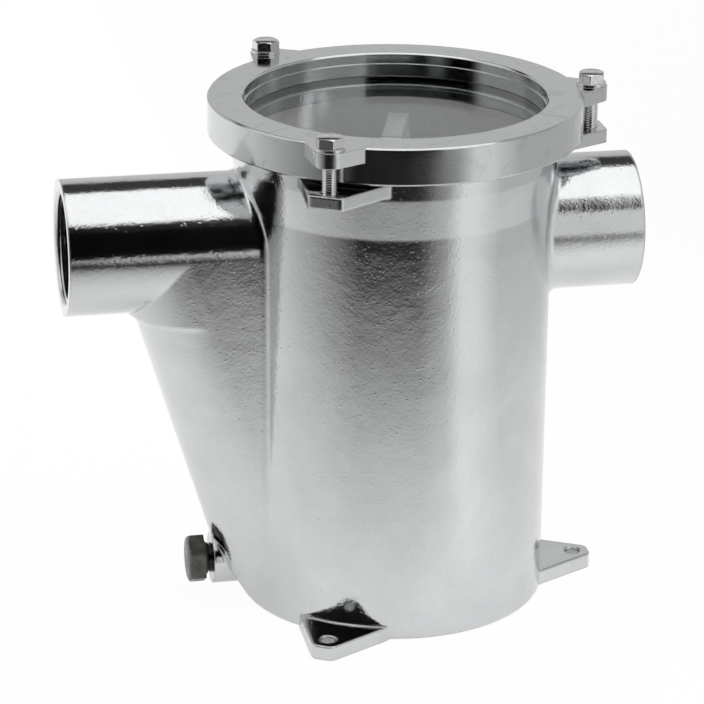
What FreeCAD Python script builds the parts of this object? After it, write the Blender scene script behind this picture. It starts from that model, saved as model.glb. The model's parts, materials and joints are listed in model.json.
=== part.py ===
import FreeCAD, Part
import math
import os

# Simplex sea water strainer for a boat's cooling or toilet intake, in millimetres.
# Water enters the right-hand port, falls through a perforated basket that hangs in the
# bowl, leaves the bowl through a window at its foot and rises through the slanted side
# chamber to the left-hand port. A clear lid shows the catch and comes off with three bolts.
# Origin: centre of the base. +Z up, +X towards the inlet port, -X towards the outlet port.

# ---- driving dimensions ----

# bowl
BOWL_R_BASE = 83.6
BOWL_R_TOP = 84.4
WALL = 6.2
BASE_ROUND = 3.0
FLOOR_Z = 8.0
FLARE_Z = 226.0
RIM_R = 87.0
RIM_LOW = 248.0
RIM_Z = 257.0
FLARE_DIP = 12.0

# ledge that the basket hangs on
LEDGE_TOP = 168.0
LEDGE_R = 73.0
LEDGE_H = 6.0

# ports, G2 internal thread bored smooth at its major diameter
PORT_Z = 204.2
PORT_R = 36.5
OUTLET_X = -179.4
INLET_X = 129.8
THREAD_R = 29.8
THREAD_L = 26.0
CORE_R = 28.3
MOUTH_CHAMFER = 1.4
CREASE_FILLET = 5.0

# slanted side chamber: its end line leans out by a share of its height, and its foot is
# turned down to a cone about the bowl's axis
CHAMBER_LEAN = 0.31
CHAMBER_BASE_X = -90.1
CHAMBER_FOOT_SLOPE = 0.62
THROAT_FILLET = 7.0
THROAT_STEPS = 5
THROAT_DIP = 12.0
THROAT_TUCK = 1.6
THROAT_INSET = 0.2
WINDOW_TOP = 150.0

# drain
DRAIN_Z = 20.0
DRAIN_BOSS_R = 14.0
DRAIN_FACE_X = -100.6
DRAIN_THREAD_R = 8.3
DRAIN_GAP = 4.2
PLUG_AF = 24.0
PLUG_HEAD_H = 9.0
PLUG_SHANK_L = 12.5
SEAL_SECTION = 1.8
SEAL_R = 8.1

# three stations round the axis: lid ears, body lugs and feet
STATIONS = [0.0, 120.0, 240.0]
BOLT_R = 107.1
LUG_TIP_R = 114.5
LUG_TIP_HALF = 9.0
LUG_ROOT_HALF = 27.0
LUG_H = 7.0
LUG_ROUND = 2.5
FOOT_TIP_R = 114.0
FOOT_TIP_HALF = 5.5
FOOT_ROUND = 5.0
FOOT_ROOT_HALF = 25.0
FOOT_H = 8.0
FOOT_HOLE_R = 4.5
FOOT_HOLE_PCD = 210.0

# lid
RING_R = 100.0
RING_Z = 260.0
RING_TOP = 280.0
RING_BORE_R = 80.0
RING_STEP_R = 80.7
RING_STEP_H = 6.0
RING_EDGE = 0.9
EAR_H = 8.0
EAR_TIP_R = 8.6
EAR_ROOT_HALF = 16.0
GLASS_R = 87.0
GLASS_T = 8.0
GLASS_EDGE = 0.6
GASKET_T = 2.0
GASKET_R_IN = 79.0
GASKET_R_OUT = 86.5

# M8 x 30 lid bolts and their washers
BOLT_SHANK_R = 4.0
BOLT_AF = 13.0
BOLT_HEAD_H = 5.5
BOLT_L = 30.0
BOLT_CORNERS = [11.0, 42.0, 32.0]
THREAD_POINT = 0.8
HEAD_BEVEL = 30.0
HEAD_FLAT = 0.47
WASHER_R = 8.0
WASHER_T = 1.6
THREAD_CLEARANCE = 0.05
HOLE_CLEARANCE = 0.4

# basket
BASKET_R = 70.0
SHEET = 1.0
BASKET_FOOT_Z = 20.0
BASKET_FLOOR_Z = 24.0
BASKET_RIM_R = 77.0
BASKET_RIM_T = 2.0
BAND_T = 1.0
BAND_H = 12.0
COLLAR_H = 10.0
HOLE_SIDE = 9.0
HOLE_ROWS = 5
HOLES_PER_ROW = 16
WALL_HOLES_Z = (45.0, 121.0)
FLOOR_RINGS = [(22.0, 6), (48.0, 14)]

# basket handle, a strip bent into a bail
HANDLE_TOP = 257.0
HANDLE_W = 10.7
HANDLE_T = 1.6
HANDLE_TOP_HALF = 24.5
HANDLE_KNEE_Z = 172.0
HANDLE_END_Z = 133.0
HANDLE_BEND_R = 4.0
HANDLE_AIM = 73.0
RIVET_R = 2.0
RIVET_HEAD_R = 3.6
RIVET_HEAD_H = 1.1
RIVET_Z = 146.0

ORIGIN = FreeCAD.Vector(0, 0, 0)
AXIS_X = FreeCAD.Vector(1, 0, 0)
AXIS_Z = FreeCAD.Vector(0, 0, 1)


# ---- shared shapes ----

def at(x, y, z):
    """Point."""
    return FreeCAD.Vector(x, y, z)


def turned(shape, degrees):
    """Copy of a shape turned about the bowl's axis."""
    copy = shape.copy()
    copy.rotate(ORIGIN, AXIS_Z, degrees)
    return copy


def fused(shapes):
    """One solid from several that meet, with no seams left between them."""
    whole = shapes[0].multiFuse(shapes[1:])
    return whole.removeSplitter()


def disc(radius, low, high):
    """Upright cylinder on the bowl's axis."""
    return Part.makeCylinder(radius, high - low, at(0, 0, low), AXIS_Z)


def ring(outer, inner, low, high):
    """Upright ring on the bowl's axis."""
    return disc(outer, low, high).cut(disc(inner, low, high))


def rod_x(radius, x_from, x_to, z):
    """Cylinder along X at height z."""
    length = abs(x_to - x_from)
    return Part.makeCylinder(radius, length, at(min(x_from, x_to), 0, z), AXIS_X)


def lathe(edges):
    """Solid of revolution about the bowl's axis from a closed run of edges in the XZ plane."""
    face = Part.Face(Part.Wire(edges))
    return face.revolve(ORIGIN, AXIS_Z, 360)


def polyline(points):
    """Straight edges through points, in order and not closed."""
    pairs = zip(points[:-1], points[1:])
    return [Part.LineSegment(a, b).toShape() for a, b in pairs]


def hexagon_prism(across_flats, height, low, first_corner):
    """Upright hexagonal prism whose first corner stands at an angle in degrees."""
    corner_r = across_flats / math.sqrt(3)
    corners = []
    for k in range(7):
        angle = math.radians(first_corner + 60 * k)
        corners.append(at(corner_r * math.cos(angle), corner_r * math.sin(angle), low))
    return Part.Face(Part.makePolygon(corners)).extrude(at(0, 0, height))


def hex_head(across_flats, height, first_corner):
    """Hexagon standing on z = 0 with its upper corners turned off to a round flat."""
    prism = hexagon_prism(across_flats, height, 0, first_corner)
    slope = math.tan(math.radians(HEAD_BEVEL))
    flat_r = HEAD_FLAT * across_flats
    wide_r = across_flats
    cutter = lathe(polyline([
        at(0, 0, 0),
        at(wide_r, 0, 0),
        at(wide_r, 0, height - (wide_r - flat_r) * slope),
        at(flat_r, 0, height),
        at(0, 0, height),
        at(0, 0, 0),
    ]))
    return prism.common(cutter)


def screw_shank(radius, length, point):
    """Shank hanging below z = 0, with a small bevel at its point."""
    return lathe(polyline([
        at(0, 0, 0),
        at(radius, 0, 0),
        at(radius, 0, point - length),
        at(radius - point, 0, -length),
        at(0, 0, -length),
        at(0, 0, 0),
    ]))


def save(name, shape):
    """Write one sub-part."""
    shape.exportStep(os.path.join("parts", name + ".step"))


# ---- body casting ----

def bowl_side():
    """Tapered bowl up to its rim, with a sharp base corner and no flare."""
    taper = (BOWL_R_TOP - BOWL_R_BASE) / FLARE_Z
    return lathe(polyline([
        at(0, 0, 0),
        at(BOWL_R_BASE, 0, 0),
        at(BOWL_R_BASE + taper * RIM_Z, 0, RIM_Z),
        at(0, 0, RIM_Z),
        at(0, 0, 0),
    ]))


def rim_flare():
    """Collar that widens the bowl to its rim; it starts a little inside the bowl's side."""
    widening = (RIM_R - BOWL_R_TOP) / (RIM_LOW - FLARE_Z)
    core_r = BOWL_R_BASE - WALL
    low_r = BOWL_R_TOP - widening * FLARE_DIP
    return lathe(polyline([
        at(core_r, 0, FLARE_Z - FLARE_DIP),
        at(low_r, 0, FLARE_Z - FLARE_DIP),
        at(RIM_R, 0, RIM_LOW),
        at(RIM_R, 0, RIM_Z),
        at(core_r, 0, RIM_Z),
        at(core_r, 0, FLARE_Z - FLARE_DIP),
    ]))


def bowl_inside():
    """Space inside the bowl, narrowed by the ledge."""
    r = BOWL_R_BASE - WALL
    slope_low = LEDGE_TOP - LEDGE_H - (r - LEDGE_R)
    return lathe(polyline([
        at(0, 0, FLOOR_Z),
        at(r - BASE_ROUND, 0, FLOOR_Z),
        at(r, 0, FLOOR_Z + BASE_ROUND),
        at(r, 0, slope_low),
        at(LEDGE_R, 0, LEDGE_TOP - LEDGE_H),
        at(LEDGE_R, 0, LEDGE_TOP),
        at(r, 0, LEDGE_TOP),
        at(r, 0, RIM_Z),
        at(0, 0, RIM_Z),
        at(0, 0, FLOOR_Z),
    ]))


def lean_x(z):
    """X of the chamber's leaning end line at height z."""
    return CHAMBER_BASE_X - CHAMBER_LEAN * z


def foot_envelope(inset):
    """Turned body that rounds the base corner, flares up the chamber's foot, clears the rest."""
    start_r = BOWL_R_BASE - BASE_ROUND - inset
    turn = math.atan(1 / CHAMBER_FOOT_SLOPE)
    corner = []
    for angle in (0, 0.5 * turn, turn):
        rise = BASE_ROUND * (1 - math.cos(angle))
        corner.append(at(start_r + BASE_ROUND * math.sin(angle), 0, rise))
    wide = PORT_R - OUTLET_X
    wide_z = corner[2].z + (wide - corner[2].x) / CHAMBER_FOOT_SLOPE
    edges = polyline([at(0, 0, 0), corner[0]])
    edges.append(Part.Arc(corner[0], corner[1], corner[2]).toShape())
    edges += polyline([
        corner[2],
        at(wide, 0, wide_z),
        at(wide, 0, RIM_Z),
        at(0, 0, RIM_Z),
        at(0, 0, 0),
    ])
    return lathe(edges)


def chamber_block(inset):
    """Side chamber up to the outlet's axis: a leaning round end and flat sides to the axis."""
    half_width = PORT_R - inset
    stretch = math.hypot(1, CHAMBER_LEAN)
    foot_x = lean_x(0) + PORT_R * stretch
    head_x = lean_x(PORT_Z) + PORT_R * stretch
    lean = at(-CHAMBER_LEAN, 0, 1)
    below = 0.5 * PORT_R
    start = at(foot_x, 0, 0) - lean * below
    end_round = Part.makeCylinder(half_width, (PORT_Z + 2 * below) * stretch, start, lean)
    level = Part.makeBox(-2 * OUTLET_X, 2 * PORT_R, PORT_Z, at(OUTLET_X, -PORT_R, 0))
    side = Part.Face(Part.makePolygon([
        at(0, -half_width, 0),
        at(foot_x, -half_width, 0),
        at(head_x, -half_width, PORT_Z),
        at(0, -half_width, PORT_Z),
        at(0, -half_width, 0),
    ]))
    flanks = side.extrude(at(0, 2 * half_width, 0))
    return fused([flanks, end_round.common(level)])


def throat_ends():
    """Heights and ends of the sections that round the corner under the outlet port.

    The first lies tucked inside the chamber, so that the throat leaves its face at an angle.
    """
    under_port = PORT_Z - PORT_R
    stretch = math.hypot(1, CHAMBER_LEAN)
    centre_z = under_port - THROAT_FILLET
    centre_x = lean_x(centre_z) - THROAT_FILLET * stretch
    start = math.atan(CHAMBER_LEAN)
    low_z = centre_z - THROAT_DIP
    ends = [(low_z, lean_x(low_z) + THROAT_TUCK)]
    for k in range(1, THROAT_STEPS):
        angle = start + (math.pi / 2 - start) * k / THROAT_STEPS
        x = centre_x + THROAT_FILLET * math.cos(angle)
        ends.append((centre_z + THROAT_FILLET * math.sin(angle), x))
    ends.append((PORT_Z, lean_x(PORT_Z)))
    return ends


def throat_section(z, x_end):
    """Level section of the throat: a rounded end and straight sides to the axis."""
    half_width = PORT_R - THROAT_INSET
    x_centre = x_end + PORT_R * math.hypot(1, CHAMBER_LEAN)
    near = at(x_centre, -half_width, z)
    far = at(x_centre, half_width, z)
    edges = polyline([far, at(0, half_width, z), at(0, -half_width, z), near])
    edges.append(Part.Arc(near, at(x_end, 0, z), far).toShape())
    return Part.Wire(edges)


def throat():
    """Rounded corner between the chamber's end and the underside of the outlet port."""
    sections = [throat_section(z, x_end) for z, x_end in throat_ends()]
    return Part.makeLoft(sections, True, True)


def chamber_inside():
    """Water way in the chamber, a wall's thickness inside it, and the outlet's core."""
    way = chamber_block(WALL).common(foot_envelope(WALL))
    way = way.cut(disc(-OUTLET_X, 0, FLOOR_Z))
    way = way.fuse(rod_x(CORE_R, OUTLET_X, -BOWL_R_TOP, PORT_Z))
    bowl_wall = disc(BOWL_R_TOP, WINDOW_TOP, RIM_Z)
    return way.cut(bowl_wall)


def port_mouth(x_face, inward):
    """Threaded bore and its bevelled mouth; inward is +1 or -1 along X."""
    bevel = Part.makeCone(
        THREAD_R + MOUTH_CHAMFER, THREAD_R, MOUTH_CHAMFER, at(x_face, 0, PORT_Z), AXIS_X * inward
    )
    depth = THREAD_L + MOUTH_CHAMFER
    return bevel.fuse(rod_x(THREAD_R, x_face, x_face + inward * depth, PORT_Z))


def lug(low, height, tip_r, tip_half, root_half, corner_r):
    """Flat plate that tapers outward along +X to a square tip with rounded corners."""
    root_x = math.sqrt(BOWL_R_BASE ** 2 - root_half ** 2)
    inner_x = root_x - 0.5 * WALL
    outline = Part.makePolygon([
        at(inner_x, -root_half, low),
        at(root_x, -root_half, low),
        at(tip_r, -tip_half, low),
        at(tip_r, tip_half, low),
        at(root_x, root_half, low),
        at(inner_x, root_half, low),
        at(inner_x, -root_half, low),
    ])
    plate = Part.Face(outline).extrude(at(0, 0, height))
    corners = []
    for edge in plate.Edges:
        ends = [v.Point for v in edge.Vertexes]
        upright = abs(ends[0].z - ends[1].z) > 0.5 * height
        if upright and ends[0].x > tip_r - 0.01:
            corners.append(edge)
    return plate.makeFillet(corner_r, corners)


def crease_edges(shape):
    """Rising edges where the bowl's side meets a port or the side chamber."""
    found = []
    for edge in shape.Edges:
        box = edge.BoundBox
        mid = edge.valueAt(0.5 * (edge.FirstParameter + edge.LastParameter))
        on_bowl = abs(math.hypot(mid.x, mid.y) - BOWL_R_TOP) < 0.5 * (RIM_R - BOWL_R_TOP) + 1
        rising = box.ZLength > BASE_ROUND
        seam = abs(mid.y) < 0.01
        if on_bowl and rising and not seam:
            found.append(edge)
    return found


def casting_outside():
    """Outer form of the body: bowl, ports and chamber with filleted creases, then the rim."""
    form = fused([
        bowl_side(),
        rod_x(PORT_R, OUTLET_X, 0, PORT_Z),
        rod_x(PORT_R, 0, INLET_X, PORT_Z),
        chamber_block(0),
    ])
    form = form.makeFillet(CREASE_FILLET, crease_edges(form)).common(foot_envelope(0))
    return form.fuse(rim_flare()).fuse(throat())


def body_casting():
    """The one-piece body: bowl, ports, chamber, lugs, feet and drain boss."""
    body = casting_outside()
    lid_lug = lug(RIM_Z - LUG_H, LUG_H, LUG_TIP_R, LUG_TIP_HALF, LUG_ROOT_HALF, LUG_ROUND)
    foot = lug(0, FOOT_H, FOOT_TIP_R, FOOT_TIP_HALF, FOOT_ROOT_HALF, FOOT_ROUND)
    for angle in STATIONS:
        body = body.fuse(turned(lid_lug, angle))
        body = body.fuse(turned(foot, angle))
    body = body.fuse(rod_x(DRAIN_BOSS_R, DRAIN_FACE_X, -BOWL_R_BASE, DRAIN_Z))
    body = body.cut(bowl_inside())
    body = body.cut(chamber_inside())
    body = body.cut(rod_x(CORE_R, 0, INLET_X, PORT_Z))
    body = body.cut(port_mouth(OUTLET_X, 1))
    body = body.cut(port_mouth(INLET_X, -1))
    body = body.cut(rod_x(DRAIN_THREAD_R + THREAD_CLEARANCE, DRAIN_FACE_X, -BOWL_R_BASE, DRAIN_Z))
    bolt_hole_r = BOLT_SHANK_R + THREAD_CLEARANCE
    for angle in STATIONS:
        bolt_hole = Part.makeCylinder(bolt_hole_r, LUG_H, at(BOLT_R, 0, RIM_Z - LUG_H), AXIS_Z)
        foot_hole = Part.makeCylinder(FOOT_HOLE_R, FOOT_H, at(FOOT_HOLE_PCD / 2, 0, 0), AXIS_Z)
        body = body.cut(turned(bolt_hole, angle))
        body = body.cut(turned(foot_hole, angle))
    return body


# ---- lid: ring, glass, gasket, bolts and washers ----

def ear():
    """Tapering ear with a round tip that carries one bolt, pointing along +X."""
    root_x = math.sqrt(RING_R ** 2 - EAR_ROOT_HALF ** 2)
    reach = math.hypot(BOLT_R - root_x, EAR_ROOT_HALF)
    bearing = math.atan2(EAR_ROOT_HALF, root_x - BOLT_R) - math.acos(EAR_TIP_R / reach)
    low = RING_TOP - EAR_H
    touch_x = BOLT_R + EAR_TIP_R * math.cos(bearing)
    touch_y = EAR_TIP_R * math.sin(bearing)
    inner_x = 0.5 * (RING_R + RING_STEP_R)
    near = at(touch_x, -touch_y, low)
    far = at(touch_x, touch_y, low)
    edges = polyline([
        far,
        at(root_x, EAR_ROOT_HALF, low),
        at(inner_x, EAR_ROOT_HALF, low),
        at(inner_x, -EAR_ROOT_HALF, low),
        at(root_x, -EAR_ROOT_HALF, low),
        near,
    ])
    edges.append(Part.Arc(near, at(BOLT_R + EAR_TIP_R, 0, low), far).toShape())
    return Part.Face(Part.Wire(edges)).extrude(at(0, 0, EAR_H))


def lid_ring():
    """Clamping ring with a stepped bore, a recess for the glass and three ears."""
    glass_top = RIM_Z + GASKET_T + GLASS_T
    recess_r = GLASS_R + HOLE_CLEARANCE
    body = lathe(polyline([
        at(recess_r, 0, RING_Z),
        at(RING_R - RING_EDGE, 0, RING_Z),
        at(RING_R, 0, RING_Z + RING_EDGE),
        at(RING_R, 0, RING_TOP - RING_EDGE),
        at(RING_R - RING_EDGE, 0, RING_TOP),
        at(RING_STEP_R + RING_EDGE, 0, RING_TOP),
        at(RING_STEP_R, 0, RING_TOP - RING_EDGE),
        at(RING_STEP_R, 0, RING_TOP - RING_STEP_H),
        at(RING_BORE_R, 0, RING_TOP - RING_STEP_H),
        at(RING_BORE_R, 0, glass_top),
        at(recess_r, 0, glass_top),
        at(recess_r, 0, RING_Z),
    ]))
    hole_r = BOLT_SHANK_R + HOLE_CLEARANCE
    for angle in STATIONS:
        body = body.fuse(turned(ear(), angle))
    for angle in STATIONS:
        hole = Part.makeCylinder(hole_r, EAR_H, at(BOLT_R, 0, RING_TOP - EAR_H), AXIS_Z)
        body = body.cut(turned(hole, angle))
    return body


def sight_glass():
    """Clear round plate with its edges broken."""
    low = RIM_Z + GASKET_T
    plate = disc(GLASS_R, low, low + GLASS_T)
    rims = [edge for edge in plate.Edges if edge.BoundBox.ZLength < 0.01]
    return plate.makeChamfer(GLASS_EDGE, rims)


def lid_washer():
    """Flat washer on an ear, at angle 0."""
    outer = Part.makeCylinder(WASHER_R, WASHER_T, at(BOLT_R, 0, RING_TOP), AXIS_Z)
    inner_r = BOLT_SHANK_R + HOLE_CLEARANCE
    inner = Part.makeCylinder(inner_r, WASHER_T, at(BOLT_R, 0, RING_TOP), AXIS_Z)
    return outer.cut(inner)


def lid_bolt(first_corner):
    """Hex bolt through an ear and into a body lug, at angle 0."""
    head = hex_head(BOLT_AF, BOLT_HEAD_H, first_corner)
    bolt = head.fuse(screw_shank(BOLT_SHANK_R, BOLT_L, THREAD_POINT))
    bolt.translate(at(BOLT_R, 0, RING_TOP + WASHER_T))
    return bolt


# ---- drain ----

def pointing_outlet(shape, x_seat):
    """Copy of an upright shape laid along the drain's axis, its +Z end turned to -X."""
    copy = shape.copy()
    copy.rotate(ORIGIN, FreeCAD.Vector(0, 1, 0), -90)
    copy.translate(at(x_seat, 0, DRAIN_Z))
    return copy


def drain_plug():
    """Hex plug with a bare neck and a groove for its seal under the head."""
    shank = screw_shank(DRAIN_THREAD_R, PLUG_SHANK_L, THREAD_POINT)
    groove = ring(DRAIN_THREAD_R + 1, SEAL_R - 0.5 * SEAL_SECTION, -SEAL_SECTION, 0)
    plug = hex_head(PLUG_AF, PLUG_HEAD_H, 0).fuse(shank.cut(groove))
    return pointing_outlet(plug, DRAIN_FACE_X - DRAIN_GAP)


def drain_seal():
    """Rubber seal in the groove under the plug's head, its section an octagon."""
    centre = at(SEAL_R, 0, -0.5 * SEAL_SECTION)
    section = [centre + at(0.5 * SEAL_SECTION, 0, 0)]
    for k in range(8):
        angle = math.radians(45 * (k + 1))
        reach = 0.5 * SEAL_SECTION
        section.append(centre + at(reach * math.cos(angle), 0, reach * math.sin(angle)))
    return pointing_outlet(lathe(polyline(section)), DRAIN_FACE_X - DRAIN_GAP)


# ---- basket ----

def wall_hole(z, degrees):
    """Cutter for one square perforation in the wall at a height and an angle."""
    corner = at(0, -0.5 * HOLE_SIDE, z - 0.5 * HOLE_SIDE)
    return turned(Part.makeBox(BASKET_R + 1, HOLE_SIDE, HOLE_SIDE, corner), degrees)


def floor_hole(reach, degrees):
    """Cutter for one square perforation in the floor at a distance from the axis."""
    corner = at(reach - 0.5 * HOLE_SIDE, -0.5 * HOLE_SIDE, BASKET_FLOOR_Z)
    return turned(Part.makeBox(HOLE_SIDE, HOLE_SIDE, SHEET, corner), degrees)


def basket_wall():
    """Perforated sheet cylinder, its holes in staggered rows."""
    wall = ring(BASKET_R, BASKET_R - SHEET, BASKET_FLOOR_Z, LEDGE_TOP)
    low, high = WALL_HOLES_Z
    pitch = 360 / HOLES_PER_ROW
    cutters = []
    for row in range(HOLE_ROWS):
        z = low + (high - low) * row / (HOLE_ROWS - 1)
        for k in range(HOLES_PER_ROW):
            angle = HANDLE_AIM + pitch * (k + 0.5 * (row % 2))
            cutters.append(wall_hole(z, angle))
    cutters.append(turned(rod_x(RIVET_R, -BASKET_R - 1, BASKET_R + 1, RIVET_Z), HANDLE_AIM))
    return wall.cut(Part.makeCompound(cutters))


def basket_floor():
    """Perforated disc inside the foot of the wall."""
    floor = disc(BASKET_R - SHEET, BASKET_FLOOR_Z, BASKET_FLOOR_Z + SHEET)
    cutters = [floor_hole(0, 0)]
    for reach, count in FLOOR_RINGS:
        for k in range(count):
            cutters.append(floor_hole(reach, 360 * k / count))
    return floor.cut(Part.makeCompound(cutters))


def basket_rim():
    """Turned rim: a flange that rests on the ledge and a collar round the wall."""
    flange_top = LEDGE_TOP + BASKET_RIM_T
    return lathe(polyline([
        at(BASKET_R, 0, LEDGE_TOP - COLLAR_H),
        at(BASKET_R + BAND_T, 0, LEDGE_TOP - COLLAR_H),
        at(BASKET_R + BAND_T, 0, LEDGE_TOP),
        at(BASKET_RIM_R, 0, LEDGE_TOP),
        at(BASKET_RIM_R, 0, flange_top),
        at(BASKET_R - SHEET, 0, flange_top),
        at(BASKET_R - SHEET, 0, LEDGE_TOP),
        at(BASKET_R, 0, LEDGE_TOP),
        at(BASKET_R, 0, LEDGE_TOP - COLLAR_H),
    ]))


def basket_foot_band():
    """Plain band round the foot of the wall, standing a little below the floor."""
    return ring(BASKET_R + BAND_T, BASKET_R, BASKET_FOOT_Z, BASKET_FOOT_Z + BAND_H)


def bail_points(top, half_top, end_x, knee_z):
    """One half of the bail's line in the XZ plane: top, leaning side, upright end."""
    return [at(0, 0, top), at(half_top, 0, top), at(end_x, 0, knee_z), at(end_x, 0, HANDLE_END_Z)]


def cross_edges(shape, points):
    """Edges that run along Y through one of the points, on either side of the axis."""
    found = []
    for edge in shape.Edges:
        start = edge.Vertexes[0].Point
        across = edge.BoundBox.XLength < 0.01 and edge.BoundBox.ZLength < 0.01
        for point in points:
            if across and math.hypot(abs(start.x) - point.x, start.z - point.z) < 0.01:
                found.append(edge)
    return found


def basket_handle():
    """Bail bent from one flat strip: level top, leaning sides and upright riveted ends."""
    end_x = handle_seat()
    lean = math.atan2(end_x - HANDLE_TOP_HALF, HANDLE_TOP - HANDLE_KNEE_Z)
    tuck = HANDLE_T * math.tan(0.5 * (math.pi / 2 - lean))
    sag = HANDLE_T * math.tan(0.5 * lean)
    outer = bail_points(HANDLE_TOP, HANDLE_TOP_HALF, end_x, HANDLE_KNEE_Z)
    inner = bail_points(
        HANDLE_TOP - HANDLE_T, HANDLE_TOP_HALF - tuck, end_x - HANDLE_T, HANDLE_KNEE_Z - sag
    )
    outline = outer + inner[::-1] + outer[:1]
    half = Part.Face(Part.makePolygon(outline))
    half.translate(at(0, -0.5 * HANDLE_W, 0))
    right = half.extrude(at(0, HANDLE_W, 0))
    strip = fused([right, turned(right, 180)])
    strip = strip.makeFillet(HANDLE_BEND_R, cross_edges(strip, inner[1:3]))
    strip = strip.makeFillet(HANDLE_BEND_R + HANDLE_T, cross_edges(strip, outer[1:3]))
    strip = strip.cut(rod_x(RIVET_R, -BASKET_R, BASKET_R, RIVET_Z))
    return turned(strip, HANDLE_AIM)


def handle_seat():
    """Distance from the axis at which the flat strip's edges touch the wall."""
    return math.sqrt((BASKET_R - SHEET) ** 2 - (0.5 * HANDLE_W) ** 2)


def handle_rivets():
    """The handle's two rivets, each with a bevelled head inside and outside."""
    low_x = handle_seat() - HANDLE_T
    face_r = RIVET_HEAD_R - RIVET_HEAD_H
    outline = Part.makePolygon([
        at(low_x - RIVET_HEAD_H, 0, RIVET_Z),
        at(low_x - RIVET_HEAD_H, 0, RIVET_Z + face_r),
        at(low_x, 0, RIVET_Z + RIVET_HEAD_R),
        at(low_x, 0, RIVET_Z + RIVET_R),
        at(BASKET_R, 0, RIVET_Z + RIVET_R),
        at(BASKET_R, 0, RIVET_Z + RIVET_HEAD_R),
        at(BASKET_R + RIVET_HEAD_H, 0, RIVET_Z + face_r),
        at(BASKET_R + RIVET_HEAD_H, 0, RIVET_Z),
        at(low_x - RIVET_HEAD_H, 0, RIVET_Z),
    ])
    rivet = Part.Face(outline).revolve(at(0, 0, RIVET_Z), AXIS_X, 360)
    return Part.makeCompound([turned(rivet, HANDLE_AIM), turned(rivet, HANDLE_AIM + 180)])


# ---- write every sub-part ----

os.makedirs("parts", exist_ok=True)

save("body_casting", body_casting())
save("lid_ring", lid_ring())
save("sight_glass", sight_glass())
save("lid_gasket", ring(GASKET_R_OUT, GASKET_R_IN, RIM_Z, RIM_Z + GASKET_T))
for number, angle in enumerate(STATIONS, start=1):
    corner = BOLT_CORNERS[number - 1]
    save("lid_washer_%d" % number, turned(lid_washer(), angle))
    save("lid_bolt_%d" % number, turned(lid_bolt(corner), angle))
save("drain_plug", drain_plug())
save("drain_seal", drain_seal())
save("basket_wall", basket_wall())
save("basket_floor", basket_floor())
save("basket_rim", basket_rim())
save("basket_foot_band", basket_foot_band())
save("basket_handle", basket_handle())
save("handle_rivets", handle_rivets())
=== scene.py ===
import json
import math

import bmesh
import bpy
from mathutils import Matrix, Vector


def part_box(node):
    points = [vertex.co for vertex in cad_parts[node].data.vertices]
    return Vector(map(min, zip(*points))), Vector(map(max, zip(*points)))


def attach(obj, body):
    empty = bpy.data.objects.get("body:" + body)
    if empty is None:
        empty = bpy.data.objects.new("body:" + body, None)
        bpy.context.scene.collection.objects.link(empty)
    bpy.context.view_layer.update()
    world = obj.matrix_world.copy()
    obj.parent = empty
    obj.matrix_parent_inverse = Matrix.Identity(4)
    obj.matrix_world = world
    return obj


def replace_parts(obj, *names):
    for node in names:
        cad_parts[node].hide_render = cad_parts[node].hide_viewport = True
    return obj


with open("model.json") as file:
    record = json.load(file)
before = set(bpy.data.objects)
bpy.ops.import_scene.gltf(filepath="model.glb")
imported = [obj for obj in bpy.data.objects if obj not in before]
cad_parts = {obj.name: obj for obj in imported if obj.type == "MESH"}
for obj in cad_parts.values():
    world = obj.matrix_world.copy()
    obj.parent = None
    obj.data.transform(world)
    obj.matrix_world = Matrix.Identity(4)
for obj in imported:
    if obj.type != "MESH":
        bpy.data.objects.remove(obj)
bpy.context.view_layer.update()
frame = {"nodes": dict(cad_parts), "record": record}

nodes = frame["nodes"]


# ---- camera ----
# Looks down on the strainer from a little left of its front.
# A long lens from nearly two metres keeps the bowl's sides almost parallel.

yaw, elevation, roll = math.radians(-11.4954), math.radians(20.4081), math.radians(0.51497)
CAMERA_PLACE = (-0.37610, -1.73950, 0.79585)
LENS_MM, SENSOR_MM = 178.29, 36
camera_data = bpy.data.cameras.new("camera")
camera_data.lens = LENS_MM
camera_data.sensor_width = SENSOR_MM
camera_data.clip_end = 20
camera = bpy.data.objects.new("camera", camera_data)
aim = Matrix.Rotation(yaw, 4, "Z") @ Matrix.Rotation(math.pi / 2 - elevation, 4, "X")
camera.matrix_world = Matrix.Translation(CAMERA_PLACE) @ aim @ Matrix.Rotation(roll, 4, "Z")
bpy.context.scene.collection.objects.link(camera)
bpy.context.scene.camera = camera


# ---- studio ----
# A white room with a black panel in front, pale reflectors at both sides and a softbox overhead.
# The metal shows this room, and the camera itself sees plain white around the object.
# Each list gives the room's grey by bearing in degrees: 0 is the front, 90 the right, -90 the left.

BELOW = [(-180, 0.62), (-136, 0.62), (-128, 0.8), (-95, 0.78), (-77, 0.48), (-66, 0.16), (-45, 0.03),
         (-5, 0.03), (9, 0.1), (24, 0.4), (34, 0.65), (52, 0.85), (66, 0.5), (132, 0.62), (180, 0.62)]
LEVEL = [(-180, 0.62), (-136, 0.62), (-128, 0.85), (-84, 0.85), (-74, 0.0), (0, 0.0), (10, 0.75), (57, 0.85),
         (66, 0.5), (132, 0.62), (180, 0.62)]
HIGH = [(-180, 0.05), (-136, 0.05), (-128, 0.85), (-84, 0.85), (-74, 0.01), (17, 0.01), (26, 0.9), (57, 0.9),
        (66, 0.5), (120, 0.5), (132, 0.05), (180, 0.05)]
SOFTBOX = 1.35
HORIZON_DEG, SHOULDER_DEG = (-14, -5), (27, 33)
SOFTBOX_EDGE_DEG, SOFTBOX_CORE_DEG = (50, 58), (54, 62)


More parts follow.
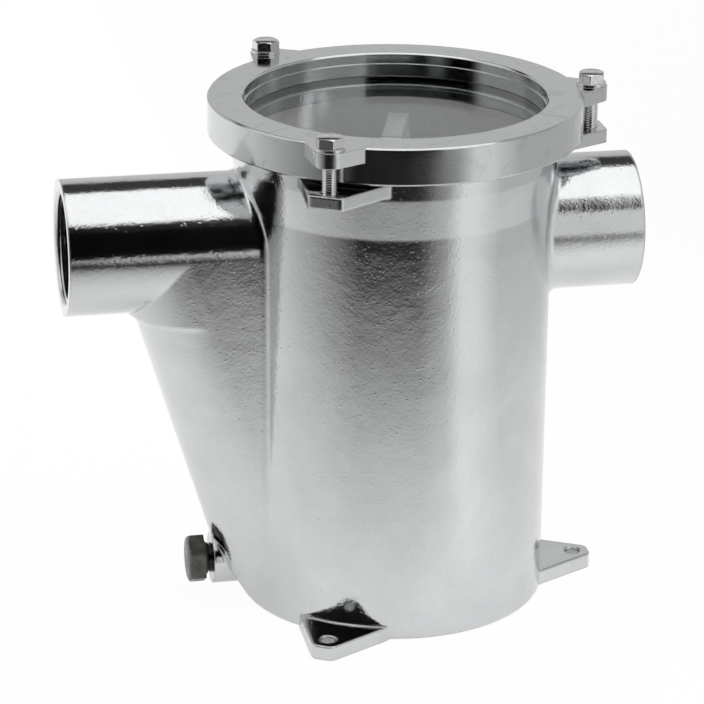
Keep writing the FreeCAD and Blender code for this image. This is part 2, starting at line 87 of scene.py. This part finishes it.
def wire(tree, kind, inputs=None, **settings):
    """Adds a shader node, sets its options, and gives each input a value or a link."""
    node = tree.nodes.new("ShaderNode" + kind)
    for name, value in settings.items():
        setattr(node, name, value)
    for name, value in (inputs or {}).items():
        if isinstance(value, bpy.types.NodeSocket):
            tree.links.new(value, node.inputs[name])
        else:
            node.inputs[name].default_value = value
    return node


def ramp(tree, factor, stops):
    """Grey ramp through (position, grey) stops in rising order."""
    node = wire(tree, "ValToRGB", {0: factor})
    elements = node.color_ramp.elements
    elements[0].color = (stops[0][1],) * 3 + (1,)
    elements[1].color = (stops[-1][1],) * 3 + (1,)
    for position, grey in stops[1:-1]:
        elements.new(position).color = (grey, grey, grey, 1)
    return node.outputs[0]


def blend_grey(tree, factor, low, high):
    """low where the factor is 0, high where it is 1."""
    return wire(tree, "Mix", {0: factor, 2: low, 3: high}, data_type="FLOAT").outputs[0]


def times(tree, value, factor):
    """Product of two values or sockets."""
    return wire(tree, "Math", {0: value, 1: factor}, operation="MULTIPLY").outputs[0]


def step_up(tree, value, low, high, start=0.0, end=1.0):
    """Smooth step from start to end as the value goes from low to high."""
    return wire(tree, "MapRange", {0: value, 1: low, 2: high, 3: start, 4: end},
                interpolation_type="SMOOTHSTEP").outputs[0]


def grey_by_bearing(tree, direction, *lists):
    """One grey for each list of (bearing, grey) stops, looked up by the direction's bearing."""
    part = wire(tree, "SeparateXYZ", {0: direction})
    toward_front = times(tree, part.outputs[1], -1.0)
    bearing = wire(tree, "Math", {0: part.outputs[0], 1: toward_front}, operation="ARCTAN2").outputs[0]
    around = wire(tree, "MapRange", {0: bearing, 1: -math.pi, 2: math.pi}).outputs[0]
    return [ramp(tree, around, [((degrees + 180) / 360, grey) for degrees, grey in stops]) for stops in lists]


world = bpy.data.worlds.new("studio")
bpy.context.scene.world = world
world.use_nodes = True
room = world.node_tree
room.nodes.clear()
sight = wire(room, "TexCoord").outputs["Generated"]
below, level, high_up = grey_by_bearing(room, sight, BELOW, LEVEL, HIGH)
way = wire(room, "SeparateXYZ", {0: sight})
climb = wire(room, "Math", {0: way.outputs[2]}, operation="ARCSINE").outputs[0]
above_floor = step_up(room, climb, *map(math.radians, HORIZON_DEG))
above_walls = step_up(room, climb, *map(math.radians, SHOULDER_DEG))
behind = wire(room, "MapRange", {0: way.outputs[1], 1: -0.2, 2: 0.3}).outputs[0]
box_edge = blend_grey(room, behind, *map(math.radians, SOFTBOX_EDGE_DEG))
box_core = blend_grey(room, behind, *map(math.radians, SOFTBOX_CORE_DEG))
overhead = step_up(room, climb, box_edge, box_core)
walls = blend_grey(room, above_walls, blend_grey(room, above_floor, below, level), high_up)
seen = blend_grey(room, overhead, walls, SOFTBOX)
white_or_room = blend_grey(room, wire(room, "LightPath").outputs["Is Camera Ray"], seen, 1.0)
background = wire(room, "Background", {"Color": white_or_room})
wire(room, "OutputWorld", {"Surface": background.outputs[0]})
bpy.context.scene.view_settings.view_transform = "Standard"

# The floor's colour has painted shade: it darkens towards the front, and less so towards the right, as if
# shaded by the black panel.
# Where it is not shaded it carries a painted glow, seen mostly in the metal's reflections of it.
# The camera sees it pale. A black card in front on the left shows only as a reflection in the metal.

PANEL_SHADE = [(-180, 0), (-128, 0), (-67, 0.65), (-35, 1), (6, 1), (24, 0.65), (35, 0.1), (46, 0.12),
               (66, 0.45), (120, 0.45), (180, 0.1)]
SHADE_REACH = (0.1, 0.72)
FLOOR_PALE, FLOOR_DARK, FLOOR_GLOW, SHOWN_PALE = 0.86, 0.02, 0.4, 0.92
FLOOR = [(-1.5, -0.9, 0), (1.5, -0.9, 0), (1.5, 2.5, 0), (-1.5, 2.5, 0)]
CARD = [(-0.7, -0.42, 0.18), (0.1, -0.42, 0.18), (0.1, -0.42, 0.55), (-0.7, -0.42, 0.55)]


def studio_sheet(name, corners):
    """Flat sheet that stands in the room, and the empty node tree of its own paint."""
    shape = bmesh.new()
    shape.faces.new([shape.verts.new(corner) for corner in corners])
    mesh = bpy.data.meshes.new(name)
    shape.to_mesh(mesh)
    shape.free()
    sheet = bpy.data.objects.new(name, mesh)
    bpy.context.scene.collection.objects.link(sheet)
    paint = bpy.data.materials.new(name)
    paint.use_nodes = True
    paint.node_tree.nodes.clear()
    mesh.materials.append(paint)
    return sheet, paint.node_tree


tree = studio_sheet("floor", FLOOR)[1]
place = wire(tree, "TexCoord").outputs["Object"]
panel_side, = grey_by_bearing(tree, place, PANEL_SHADE)
reach = wire(tree, "VectorMath", {0: place}, operation="LENGTH").outputs["Value"]
far = wire(tree, "MapRange", {0: reach, 1: SHADE_REACH[0], 2: SHADE_REACH[1]}).outputs[0]
# Painted shade on the floor: its colour goes from pale to dark by bearing and distance, as if shaded by the
# black panel.
shade = times(tree, panel_side, far)
matt = wire(tree, "BsdfDiffuse", {"Color": blend_grey(tree, shade, FLOOR_PALE, FLOOR_DARK)})
# Painted glow: the floor gives off light where its painted shade is light.
painted_glow = wire(tree, "Emission", {"Color": (1, 1, 1, 1), "Strength": blend_grey(tree, shade, FLOOR_GLOW, 0.0)})
painted_shade_and_glow = wire(tree, "AddShader", {0: matt.outputs[0], 1: painted_glow.outputs[0]})
lit = wire(tree, "Emission", {"Color": (1, 1, 1, 1), "Strength": 1.0})
to_camera = times(tree, wire(tree, "LightPath").outputs["Is Camera Ray"], SHOWN_PALE)
both = wire(tree, "MixShader", {0: to_camera, 1: painted_shade_and_glow.outputs[0], 2: lit.outputs[0]})
wire(tree, "OutputMaterial", {"Surface": both.outputs[0]})

card, tree = studio_sheet("black_card", CARD)
card.visible_camera = card.visible_diffuse = card.visible_shadow = card.visible_transmission = False
black = wire(tree, "BsdfDiffuse", {"Color": (0.002, 0.002, 0.002, 1)})
wire(tree, "OutputMaterial", {"Surface": black.outputs[0]})


# ---- cast body ----
# Sand-cast bronze, dressed smooth and nickel plated: fine stipple, small pits, a slow waviness, soft edges.
# The casting is the CAD node itself, with a material only.


def start_group(name, outputs):
    """Node group that works on object coordinates and gives out masks and values only."""
    group = bpy.data.node_groups.new(name, "ShaderNodeTree")
    for label in outputs:
        group.interface.new_socket(label, in_out="OUTPUT", socket_type="NodeSocketFloat")
    where = wire(group, "TexCoord").outputs["Object"]
    return group, where


def end_group(group, values):
    """Joins the values to the group's outputs."""
    out = group.nodes.new("NodeGroupOutput")
    for label, value in values.items():
        group.links.new(value, out.inputs[label])


def grain(tree, where, scale, detail=2.0, rough=0.5, skew=0.0):
    """Noise from 0 to 1 with about one bump in 1 / scale metres."""
    return wire(tree, "TexNoise", {"Vector": where, "Scale": scale, "Detail": detail, "Roughness": rough,
                                   "Distortion": skew}).outputs["Fac"]


def add(tree, *values):
    """Sum of values or sockets."""
    total = values[0]
    for value in values[1:]:
        total = wire(tree, "Math", {0: total, 1: value}, operation="ADD").outputs[0]
    return total


cast_skin, where = start_group("cast_skin", ["Height", "Tone", "Rough"])
stipple = grain(cast_skin, where, 620, 2.0)
orange_peel = grain(cast_skin, where, 230, 3.0, 0.6)
waves = grain(cast_skin, where, 34, 2.0)
clouds = grain(cast_skin, where, 17, 5.0, 0.62, 0.5)
patch = step_up(cast_skin, grain(cast_skin, where, 11, 3.0, 0.55, 0.4), 0.38, 0.66)
dots = wire(cast_skin, "TexVoronoi", {"Vector": where, "Scale": 430.0}).outputs["Distance"]
grit_field = step_up(cast_skin, grain(cast_skin, where, 160, 2.0), 0.42, 0.6)
grit = times(cast_skin, step_up(cast_skin, dots, 0.08, 0.34, 1.0, 0.0), grit_field)
cells = wire(cast_skin, "TexVoronoi", {"Vector": where, "Scale": 110.0}).outputs["Distance"]
pit_field = step_up(cast_skin, grain(cast_skin, where, 24, 2.0), 0.57, 0.66)
pits = times(cast_skin, step_up(cast_skin, cells, 0.03, 0.09, 1.0, 0.0), pit_field)
coarse = blend_grey(cast_skin, patch, 0.03, 0.06)
end_group(cast_skin, {
    "Height": add(cast_skin, times(cast_skin, stipple, coarse), times(cast_skin, orange_peel, 0.062),
                  times(cast_skin, waves, 0.3), times(cast_skin, grit, 0.036), times(cast_skin, pits, -0.06)),
    "Tone": add(cast_skin, times(cast_skin, clouds, 0.26), times(cast_skin, stipple, 0.06),
                times(cast_skin, pits, -0.16), 0.535),
    "Rough": add(cast_skin, times(cast_skin, clouds, 0.1), times(cast_skin, pits, 0.2), 0.06),
})


def finish_with(name, group, tint, metallic=1.0, edge=0.0, **constants):
    """Principled material whose tone, roughness and relief (in millimetres) come from a group."""
    material = bpy.data.materials.new(name)
    material.use_nodes = True
    tree = material.node_tree
    tree.nodes.clear()
    surface = tree.nodes.new("ShaderNodeGroup")
    surface.node_tree = group
    colour = wire(tree, "Mix", {6: (0, 0, 0, 1), 7: (*tint, 1), 0: surface.outputs["Tone"]},
                  data_type="RGBA").outputs[2]
    relief = {"Height": surface.outputs["Height"], "Distance": 0.001, "Strength": 1.0}
    if edge:
        relief["Normal"] = wire(tree, "Bevel", {"Radius": edge}, samples=6).outputs[0]
    bump = wire(tree, "Bump", relief)
    shader = wire(tree, "BsdfPrincipled", {"Base Color": colour, "Roughness": surface.outputs["Rough"],
                                           "Metallic": metallic, "Normal": bump.outputs[0], **constants})
    wire(tree, "OutputMaterial", {"Surface": shader.outputs[0]})
    return material


def coat(node, material):
    """Gives a CAD node its material."""
    node.data.materials.clear()
    node.data.materials.append(material)


plated = finish_with("plated_casting", cast_skin, (0.975, 0.99, 1.0), edge=0.0022)
coat(nodes["body_casting"], plated)


# ---- threads in the ports ----
# Pipe threads of 2.309 mm pitch cut into both mouths of the casting.
# Each is a helix of ridges on the bored wall, cut off square at both ends and closed behind.

cut_thread = finish_with("cut_thread", cast_skin, (0.93, 0.95, 0.96))
PORT_PITCH = 0.002309
PORT_BACK_R, PORT_ROOT_R, PORT_CREST_R = 0.02975, 0.0297, 0.0284
PORT_THREAD_L = 0.0255
PORT_STEPS = 64
MOUTH_CHAMFER = 0.0014
low_corner, high_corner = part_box("body_casting")
port_z = next(m["pos_m"][2] for m in frame["record"]["mounts"] if m["name"] == "inlet")


def link(name, shape, material, body, smooth=40):
    """Turns a bmesh into a finished piece that rides on a body."""
    bmesh.ops.recalc_face_normals(shape, faces=shape.faces)
    mesh = bpy.data.meshes.new(name)
    shape.to_mesh(mesh)
    shape.free()
    mesh.polygons.foreach_set("use_smooth", [True] * len(mesh.polygons))
    mesh.set_sharp_from_angle(angle=math.radians(smooth))
    piece = bpy.data.objects.new(name, mesh)
    bpy.context.scene.collection.objects.link(piece)
    mesh.materials.append(material)
    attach(piece, body)
    return piece


def cut_off(shape, point, direction):
    """Takes away what lies beyond a point in one direction, and leaves the cut open."""
    bmesh.ops.bisect_plane(shape, geom=shape.verts[:] + shape.edges[:] + shape.faces[:], dist=1e-7,
                           plane_co=point, plane_no=direction, clear_outer=True)


def helix(valley_r, ridge_r, pitch, low, high, steps):
    """Wall of thread ridges round the Z axis between two heights, open at both ends."""
    shape = bmesh.new()
    start = low - pitch
    turns = math.ceil((high - low) / pitch) + 2
    profile = [(0.0, valley_r), (0.12, valley_r), (0.44, ridge_r), (0.56, ridge_r), (0.88, valley_r),
               (1.0, valley_r)]
    verts = [shape.verts.new((r, 0, start + pitch * (t - 1))) for t, r in profile]
    edges = [shape.edges.new(pair) for pair in zip(verts, verts[1:])]
    bmesh.ops.spin(shape, geom=verts + edges, angle=2 * math.pi * turns, steps=steps * turns, axis=(0, 0, 1),
                   cent=(0, 0, 0), dvec=(0, 0, pitch / steps), use_duplicate=False)
    bmesh.ops.remove_doubles(shape, verts=shape.verts, dist=pitch / 200)
    cut_off(shape, (0, 0, low), (0, 0, -1))
    cut_off(shape, (0, 0, high), (0, 0, 1))
    return shape


def rim_at(shape, height):
    """Open edges that lie at one height."""
    return [edge for edge in shape.edges
            if edge.is_boundary and all(abs(vert.co.z - height) < 1e-6 for vert in edge.verts)]


def close_behind(shape, radius, low, high):
    """Closes an open wall of ridges with flat ends and a plain round wall behind them."""
    rims = []
    for height in (low, high):
        grown = bmesh.ops.extrude_edge_only(shape, edges=rim_at(shape, height))["geom"]
        for vert in (part for part in grown if isinstance(part, bmesh.types.BMVert)):
            vert.co.xy *= radius / vert.co.xy.length
        rims += [part for part in grown if isinstance(part, bmesh.types.BMEdge) and part.is_boundary]
    bmesh.ops.bridge_loops(shape, edges=rims)


for name, mouth_x, side in (("inlet_thread", high_corner.x, 1), ("outlet_thread", low_corner.x, -1)):
    ridges = helix(PORT_ROOT_R, PORT_CREST_R, PORT_PITCH, MOUTH_CHAMFER, PORT_THREAD_L, PORT_STEPS)
    close_behind(ridges, PORT_BACK_R, MOUTH_CHAMFER, PORT_THREAD_L)
    inward = Matrix.Rotation(-side * math.pi / 2, 4, "Y")
    ridges.transform(Matrix.Translation((mouth_x, 0, port_z)) @ inward)
    link(name, ridges, cut_thread, "bowl")


# ---- clamping ring ----
# Turned and plated ring: fine turning marks round its top and bore, faint rub marks on its side.
# The ring is the CAD node itself.

turned_marks, where = start_group("turned_marks", ["Height", "Tone", "Rough"])
spot = wire(turned_marks, "SeparateXYZ", {0: where})
flat = wire(turned_marks, "VectorMath", {0: where, 1: (1, 1, 0)}, operation="MULTIPLY").outputs[0]
radius = wire(turned_marks, "VectorMath", {0: flat}, operation="LENGTH").outputs["Value"]
lathe_line = wire(turned_marks, "CombineXYZ", {0: radius, 1: spot.outputs[2]}).outputs[0]
cuts = grain(turned_marks, lathe_line, 900, 3.0, 0.6)
rubs = step_up(turned_marks, grain(turned_marks, where, 60, 4.0, 0.65, 1.5), 0.52, 0.68)
specks = grain(turned_marks, where, 700, 2.0)
swell = grain(turned_marks, where, 22, 2.0)
end_group(turned_marks, {
    "Height": add(turned_marks, times(turned_marks, cuts, 0.012), times(turned_marks, specks, 0.012),
                  times(turned_marks, swell, 0.15)),
    "Tone": add(turned_marks, times(turned_marks, cuts, 0.06), times(turned_marks, rubs, -0.06), 0.6),
    "Rough": add(turned_marks, times(turned_marks, rubs, 0.08), times(turned_marks, cuts, 0.05), 0.08),
})
coat(nodes["lid_ring"], finish_with("plated_ring", turned_marks, (0.97, 0.99, 0.99), edge=0.0006))


# ---- sight glass ----
# Thick clear plate held in the ring's recess, with a faint haze and a few wipe marks.
# It mirrors the room behind and shows the handle under it.

haze, where = start_group("haze", ["Height", "Tone", "Rough"])
smear = grain(haze, where, 40, 4.0, 0.6, 1.0)
bloom = grain(haze, where, 900, 2.0)
end_group(haze, {
    "Height": times(haze, bloom, 0.004),
    "Tone": add(haze, times(haze, smear, 0.06), 0.84),
    "Rough": add(haze, times(haze, smear, 0.05), 0.02),
})
coat(nodes["sight_glass"], finish_with("dull_glass", haze, (0.96, 1.0, 1.0), metallic=0.0,
                                       **{"Transmission Weight": 1.0, "IOR": 1.5}))


# ---- gasket and drain seal ----
# Black rubber: a flat punched gasket under the glass, and a round ring behind the drain plug's head.
# The ring's round section replaces the square one of the CAD node.

rubber_skin, where = start_group("rubber_skin", ["Height", "Tone", "Rough"])
dust = step_up(rubber_skin, grain(rubber_skin, where, 180, 4.0, 0.7), 0.55, 0.75)
mould = grain(rubber_skin, where, 1400, 1.0)
end_group(rubber_skin, {
    "Height": times(rubber_skin, mould, 0.01),
    "Tone": add(rubber_skin, times(rubber_skin, dust, 0.03), 0.02),
    "Rough": add(rubber_skin, times(rubber_skin, dust, 0.2), 0.45),
})
rubber = finish_with("black_rubber", rubber_skin, (1.0, 1.0, 1.0), metallic=0.0)
coat(nodes["lid_gasket"], rubber)

seal_low, seal_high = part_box("drain_seal")
seal_thick = seal_high.x - seal_low.x
seal_mid_r = (seal_high.z - seal_low.z) / 2 - seal_thick / 2
ring = bmesh.new()
section = bmesh.ops.create_circle(ring, segments=20, radius=seal_thick / 2)["verts"]
bmesh.ops.rotate(ring, verts=section, cent=(0, 0, 0), matrix=Matrix.Rotation(math.pi / 2, 3, "Y"))
bmesh.ops.rotate(ring, verts=section, cent=(0, 0, 0), matrix=Matrix.Rotation(math.pi / 2, 3, "Z"))
bmesh.ops.translate(ring, verts=section, vec=(seal_mid_r, 0, 0))
bmesh.ops.spin(ring, geom=ring.verts[:] + ring.edges[:], angle=2 * math.pi, steps=64, axis=(0, 0, 1),
               cent=(0, 0, 0), use_merge=True)
bmesh.ops.remove_doubles(ring, verts=ring.verts, dist=1e-6)
ring.transform(Matrix.Translation((seal_low + seal_high) / 2) @ Matrix.Rotation(math.pi / 2, 4, "Y"))
seal_ring = link("drain_ring", ring, rubber, "seal", 80)
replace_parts(seal_ring, "drain_seal")


# ---- lid bolts and washers ----
# M8 stainless set screws with cold-formed hexagon heads, each on a plain washer.
# The head keeps the CAD node's shape, and the plain shank becomes a threaded one of 1.25 mm pitch.

fastener_skin, where = start_group("fastener_skin", ["Height", "Tone", "Rough"])
scuffs = step_up(fastener_skin, grain(fastener_skin, where, 420, 4.0, 0.7, 1.0), 0.5, 0.7)
swirl = grain(fastener_skin, where, 1500, 2.0)
end_group(fastener_skin, {
    "Height": add(fastener_skin, times(fastener_skin, swirl, 0.012), times(fastener_skin, scuffs, -0.015)),
    "Tone": add(fastener_skin, times(fastener_skin, scuffs, -0.1), 0.72),
    "Rough": add(fastener_skin, times(fastener_skin, scuffs, 0.16), 0.15),
})
fastener = finish_with("bright_fastener", fastener_skin, (1.0, 1.0, 1.0), edge=0.0004)

BOLT_CREST_R, BOLT_ROOT_R, BOLT_PITCH, BOLT_POINT, BOLT_STEPS = 0.00398, 0.00339, 0.00125, 0.0008, 32
HEAD_LIFT = 1e-5


def head_of(node, underside, shank_way):
    """Merged copy of a CAD screw's head, cut off at its underside and closed there."""
    shape = bmesh.new()
    shape.from_mesh(nodes[node].data)
    bmesh.ops.remove_doubles(shape, verts=shape.verts, dist=1e-6)
    cut_off(shape, underside, shank_way)
    bmesh.ops.contextual_create(shape, geom=[edge for edge in shape.edges if edge.is_boundary])
    return shape


def screw_thread(crest_r, root_r, pitch, length, point, steps):
    """Threaded shank hanging below z = 0, closed, and slightly pointed at its lower end."""
    shape = helix(root_r, crest_r, pitch, -length, 0.0, steps)
    for vert in shape.verts:
        limit = crest_r - point + (vert.co.z + length)
        reach = math.hypot(vert.co.x, vert.co.y)
        if reach > limit:
            vert.co.x *= limit / reach
            vert.co.y *= limit / reach
    for height in (-length, 0.0):
        bmesh.ops.contextual_create(shape, geom=rim_at(shape, height))
    return shape


def join(target, extra):
    """Adds one bmesh to another."""
    carried = bpy.data.meshes.new("carried")
    extra.to_mesh(carried)
    extra.free()
    target.from_mesh(carried)
    bpy.data.meshes.remove(carried)


for k in (1, 2, 3):
    low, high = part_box("lid_bolt_%d" % k)
    washer_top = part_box("lid_washer_%d" % k)[1].z
    centre = (low + high) / 2
    bolt = head_of("lid_bolt_%d" % k, (centre.x, centre.y, washer_top + HEAD_LIFT), (0, 0, -1))
    shank = screw_thread(BOLT_CREST_R, BOLT_ROOT_R, BOLT_PITCH, washer_top - low.z, BOLT_POINT, BOLT_STEPS)
    shank.transform(Matrix.Translation((centre.x, centre.y, washer_top)))
    join(bolt, shank)
    screw = link("threaded_bolt_%d" % k, bolt, fastener, "bolt_%d" % k, 30)
    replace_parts(screw, "lid_bolt_%d" % k)
    coat(nodes["lid_washer_%d" % k], fastener)


# ---- drain plug ----
# Hexagon plug of dull grey-olive steel with a fine thread into the boss at the foot of the side chamber.
# Its head keeps the CAD node's shape.

drain_skin, where = start_group("drain_skin", ["Height", "Tone", "Rough"])
stain = step_up(drain_skin, grain(drain_skin, where, 190, 4.0, 0.65), 0.4, 0.7)
tooling = grain(drain_skin, where, 1100, 2.0)
end_group(drain_skin, {
    "Height": times(drain_skin, tooling, 0.02),
    "Tone": add(drain_skin, times(drain_skin, stain, 0.06), 0.075),
    "Rough": add(drain_skin, times(drain_skin, stain, 0.18), 0.24),
})
drain_steel = finish_with("drain_steel", drain_skin, (1.0, 0.98, 0.88), edge=0.0005)

PLUG_CREST_R, PLUG_ROOT_R, PLUG_PITCH, PLUG_POINT, PLUG_STEPS = 0.00826, 0.00745, 0.001337, 0.001, 40
low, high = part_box("drain_plug")
under_head = seal_low.x
mid = (low + high) / 2
plug = head_of("drain_plug", (under_head - HEAD_LIFT, mid.y, mid.z), (1, 0, 0))
shank = screw_thread(PLUG_CREST_R, PLUG_ROOT_R, PLUG_PITCH, high.x - under_head, PLUG_POINT, PLUG_STEPS)
shank.transform(Matrix.Translation((under_head, mid.y, mid.z)) @ Matrix.Rotation(-math.pi / 2, 4, "Y"))
join(plug, shank)
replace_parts(link("threaded_plug", plug, drain_steel, "plug", 30), "drain_plug")


# ---- basket ----
# Stainless strainer basket: wall with 4 mm round holes, perforated floor, rim, foot band, riveted handle.
# The fine wall replaces the CAD node's, whose holes are fewer and larger.

basket_skin, where = start_group("basket_skin", ["Height", "Tone", "Rough"])
stretched = wire(basket_skin, "Mapping", {"Vector": where, "Scale": (1.0, 1.0, 0.06)}).outputs[0]
brushed = grain(basket_skin, stretched, 1300, 3.0, 0.6)
water_mark = step_up(basket_skin, grain(basket_skin, where, 30, 4.0, 0.6), 0.45, 0.7)
end_group(basket_skin, {
    "Height": times(basket_skin, brushed, 0.012),
    "Tone": add(basket_skin, times(basket_skin, brushed, 0.08), times(basket_skin, water_mark, -0.06), 0.62),
    "Rough": add(basket_skin, times(basket_skin, water_mark, 0.12), times(basket_skin, brushed, 0.08), 0.22),
})
basket_steel = finish_with("basket_steel", basket_skin, (1.0, 1.0, 0.98), edge=0.0004)
for name in ("basket_floor", "basket_rim", "basket_foot_band", "basket_handle", "handle_rivets"):
    coat(nodes[name], basket_steel)

HOLE_R, HOLES_ROUND, HOLE_ROWS, HOLE_SIDES = 0.002, 63, 19, 12
wall_low, wall_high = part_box("basket_wall")
wall_r = wall_high.x
SHEET_T = 0.001
row_h = (wall_high.z - wall_low.z) / (HOLE_ROWS + 1)
half = math.pi / HOLES_ROUND


def bent(angle, z):
    """Point on the wall's outer face."""
    return (wall_r * math.cos(angle), wall_r * math.sin(angle), z)


wall = bmesh.new()
for row in range(HOLE_ROWS):
    middle = wall_low.z + row_h * (row + 1)
    frame_points, hole_points = [], []
    for i in range(HOLE_SIDES):
        angle = 2 * math.pi * (i + 0.5) / HOLE_SIDES
        c, s = math.cos(angle), math.sin(angle)
        square = 1 / max(abs(c), abs(s))
        frame_points.append(wall.verts.new(bent(half * c * square, middle + row_h / 2 * s * square)))
        hole_points.append(wall.verts.new(bent(HOLE_R * c / wall_r, middle + HOLE_R * s)))
    for i in range(HOLE_SIDES):
        j = (i + 1) % HOLE_SIDES
        wall.faces.new((frame_points[i], frame_points[j], hole_points[j], hole_points[i]))
for low_z, high_z in ((wall_low.z, wall_low.z + row_h / 2), (wall_high.z - row_h / 2, wall_high.z)):
    wall.faces.new([wall.verts.new(bent(a, z)) for a, z in
                    ((-half, low_z), (half, low_z), (half, high_z), (-half, high_z))])
bmesh.ops.spin(wall, geom=wall.verts[:] + wall.edges[:] + wall.faces[:], angle=2 * math.pi, steps=HOLES_ROUND,
               axis=(0, 0, 1), cent=(0, 0, 0), use_duplicate=True)
bmesh.ops.remove_doubles(wall, verts=wall.verts, dist=1e-5)
bmesh.ops.recalc_face_normals(wall, faces=wall.faces)
bmesh.ops.solidify(wall, geom=wall.faces[:], thickness=SHEET_T)
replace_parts(link("perforated_wall", wall, basket_steel, "basket", 35), "basket_wall")
